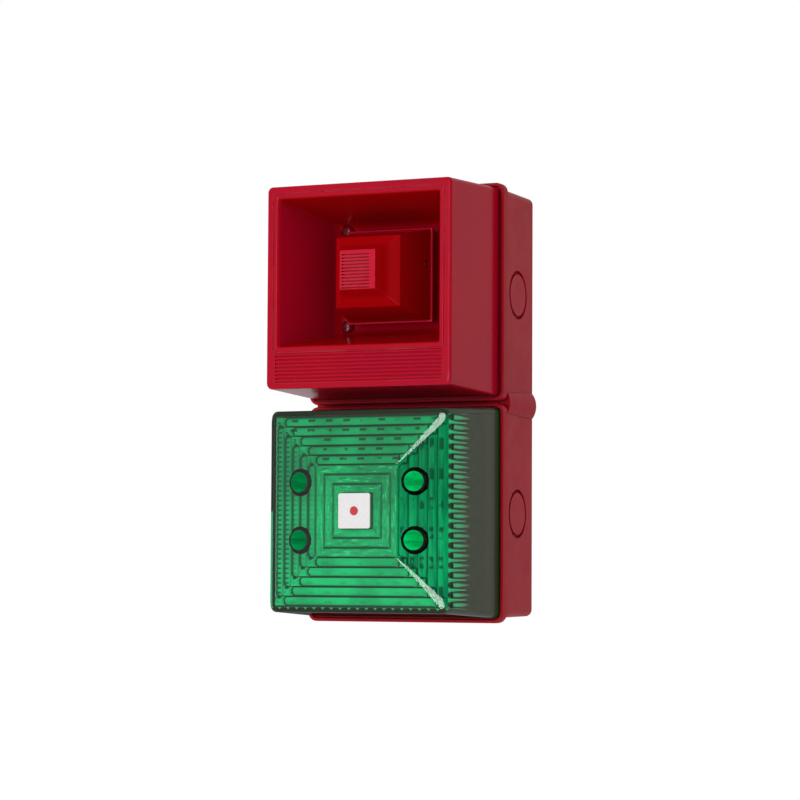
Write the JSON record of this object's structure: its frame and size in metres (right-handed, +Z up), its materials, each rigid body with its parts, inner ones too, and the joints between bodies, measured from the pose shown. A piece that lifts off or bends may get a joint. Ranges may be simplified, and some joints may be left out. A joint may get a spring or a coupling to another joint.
{
  "type": "combined wall sounder and beacon",
  "caption": "Two linked square wall boxes, one with a square flared horn and driver, one with a ribbed green lens over a flash tube; covers lift off on captive screws.",
  "frame": {"origin": "centre of the wall plane, midway between the two modules, on the flat back of the link bar", "axes": "+Z up along the stacked modules, -Y out of the wall towards the front, +X to the right seen from the front"},
  "size_m": [0.106, 0.0965, 0.2146],
  "materials": {
    "red_abs": "semi-gloss moulded red, light moulding texture",
    "green_lens": "clear green moulded polycarbonate, prismatic ribs",
    "black_rubber": "matt black sealing rubber",
    "steel": "bright plated steel",
    "ferrite": "dark grey sintered ferrite and laminated core",
    "diaphragm_film": "amber polyimide film",
    "copper": "enamelled copper winding",
    "circuit_board": "green solder mask over glass epoxy",
    "white_plastic": "white moulded plastic",
    "black_plastic": "black moulded plastic or sleeve",
    "blue_plastic": "blue moulded component body",
    "tube_glass": "clear borosilicate tube",
    "red_wire": "red wire insulation",
    "label_white": "white printed label stock"
  },
  "bodies": {
    "base": {"upper_back_box": "red_abs", "lower_back_box": "red_abs", "link_spacer": "red_abs", "upper_gasket": "black_rubber", "lower_gasket": "black_rubber", "link_bush": "black_plastic", "upper_link_nut": "black_plastic", "lower_link_nut": "black_plastic", "link_wire_red": "red_wire", "link_wire_black": "black_plastic", "reflector": "white_plastic", "flash_tube": "tube_glass", "tube_clip_left": "steel", "tube_clip_right": "steel", "beacon_board": "circuit_board", "flash_capacitor": "black_plastic", "trigger_coil": "copper", "beacon_transformer": "ferrite", "beacon_terminals": "blue_plastic", "beacon_board_screw_1": "steel", "beacon_board_screw_2": "steel", "beacon_board_screw_3": "steel", "beacon_board_screw_4": "steel"},
    "horn_head": {"horn_housing": "red_abs", "horn_plug": "red_abs", "plug_screw_left": "steel", "plug_screw_right": "steel", "driver_can": "black_plastic", "driver_top_plate": "steel", "driver_magnet": "ferrite", "driver_yoke": "steel", "sounder_board": "circuit_board", "sounder_terminals": "blue_plastic", "tone_switch": "blue_plastic", "volume_control": "blue_plastic", "sounder_capacitor": "black_plastic", "sounder_transformer": "ferrite", "sounder_board_screw_1": "steel", "sounder_board_screw_2": "steel", "sounder_board_screw_3": "steel", "sounder_board_screw_4": "steel"},
    "diaphragm": {"diaphragm": "diaphragm_film", "voice_coil": "copper"},
    "volume_rotor": {"volume_rotor": "white_plastic"},
    "lens_cover": {"beacon_lens": "green_lens", "lens_label": "label_white"},
    "tone_lever_1": {"tone_lever_1": "white_plastic"},
    "tone_lever_2": {"tone_lever_2": "white_plastic"},
    "tone_lever_3": {"tone_lever_3": "white_plastic"},
    "tone_lever_4": {"tone_lever_4": "white_plastic"},
    "tone_lever_5": {"tone_lever_5": "white_plastic"},
    "horn_screw_upper_left": {"horn_screw_upper_left": "steel"},
    "horn_screw_upper_right": {"horn_screw_upper_right": "steel"},
    "horn_screw_lower_left": {"horn_screw_lower_left": "steel"},
    "horn_screw_lower_right": {"horn_screw_lower_right": "steel"},
    "lens_screw_upper_left": {"lens_screw_upper_left": "steel"},
    "lens_screw_upper_right": {"lens_screw_upper_right": "steel"},
    "lens_screw_lower_left": {"lens_screw_lower_left": "steel"},
    "lens_screw_lower_right": {"lens_screw_lower_right": "steel"}
  },
  "joints": [
    {"name": "horn_head_lift", "type": "slide", "parent": "base", "child": "horn_head", "axis": [0, -1, 0], "range_m": [0, 0.08]},
    {"name": "lens_lift", "type": "slide", "parent": "base", "child": "lens_cover", "axis": [0, -1, 0], "range_m": [0, 0.07]},
    {"name": "diaphragm_stroke", "type": "slide", "parent": "horn_head", "child": "diaphragm", "axis": [0, -1, 0], "range_m": [-0.0003, 0.0003]},
    {"name": "volume_turn", "type": "hinge", "parent": "horn_head", "child": "volume_rotor", "pos_m": [0.014, -0.0165, 0.0319], "axis": [0, 1, 0], "range_deg": [-135, 135]},
    {"name": "tone_lever_1_slide", "type": "slide", "parent": "horn_head", "child": "tone_lever_1", "axis": [0, 0, 1], "range_m": [0, 0.0015]},
    {"name": "tone_lever_2_slide", "type": "slide", "parent": "horn_head", "child": "tone_lever_2", "axis": [0, 0, 1], "range_m": [0, 0.0015]},
    {"name": "tone_lever_3_slide", "type": "slide", "parent": "horn_head", "child": "tone_lever_3", "axis": [0, 0, 1], "range_m": [0, 0.0015]},
    {"name": "tone_lever_4_slide", "type": "slide", "parent": "horn_head", "child": "tone_lever_4", "axis": [0, 0, 1], "range_m": [0, 0.0015]},
    {"name": "tone_lever_5_slide", "type": "slide", "parent": "horn_head", "child": "tone_lever_5", "axis": [0, 0, 1], "range_m": [0, 0.0015]},
    {"name": "horn_screw_upper_left_turn", "type": "hinge", "parent": "horn_head", "child": "horn_screw_upper_left", "pos_m": [-0.0265, -0.0513, 0.085], "axis": [0, -1, 0], "continuous": true},
    {"name": "horn_screw_upper_right_turn", "type": "hinge", "parent": "horn_head", "child": "horn_screw_upper_right", "pos_m": [0.0265, -0.0513, 0.085], "axis": [0, -1, 0], "continuous": true},
    {"name": "horn_screw_lower_left_turn", "type": "hinge", "parent": "horn_head", "child": "horn_screw_lower_left", "pos_m": [-0.0265, -0.0513, 0.038], "axis": [0, -1, 0], "continuous": true},
    {"name": "horn_screw_lower_right_turn", "type": "hinge", "parent": "horn_head", "child": "horn_screw_lower_right", "pos_m": [0.0265, -0.0513, 0.038], "axis": [0, -1, 0], "continuous": true},
    {"name": "lens_screw_upper_left_turn", "type": "hinge", "parent": "lens_cover", "child": "lens_screw_upper_left", "pos_m": [-0.0305, -0.0488, -0.04], "axis": [0, -1, 0], "continuous": true},
    {"name": "lens_screw_upper_right_turn", "type": "hinge", "parent": "lens_cover", "child": "lens_screw_upper_right", "pos_m": [0.0305, -0.0488, -0.04], "axis": [0, -1, 0], "continuous": true},
    {"name": "lens_screw_lower_left_turn", "type": "hinge", "parent": "lens_cover", "child": "lens_screw_lower_left", "pos_m": [-0.0305, -0.0488, -0.0678], "axis": [0, -1, 0], "continuous": true},
    {"name": "lens_screw_lower_right_turn", "type": "hinge", "parent": "lens_cover", "child": "lens_screw_lower_right", "pos_m": [0.0305, -0.0488, -0.0678], "axis": [0, -1, 0], "continuous": true}
  ]
}
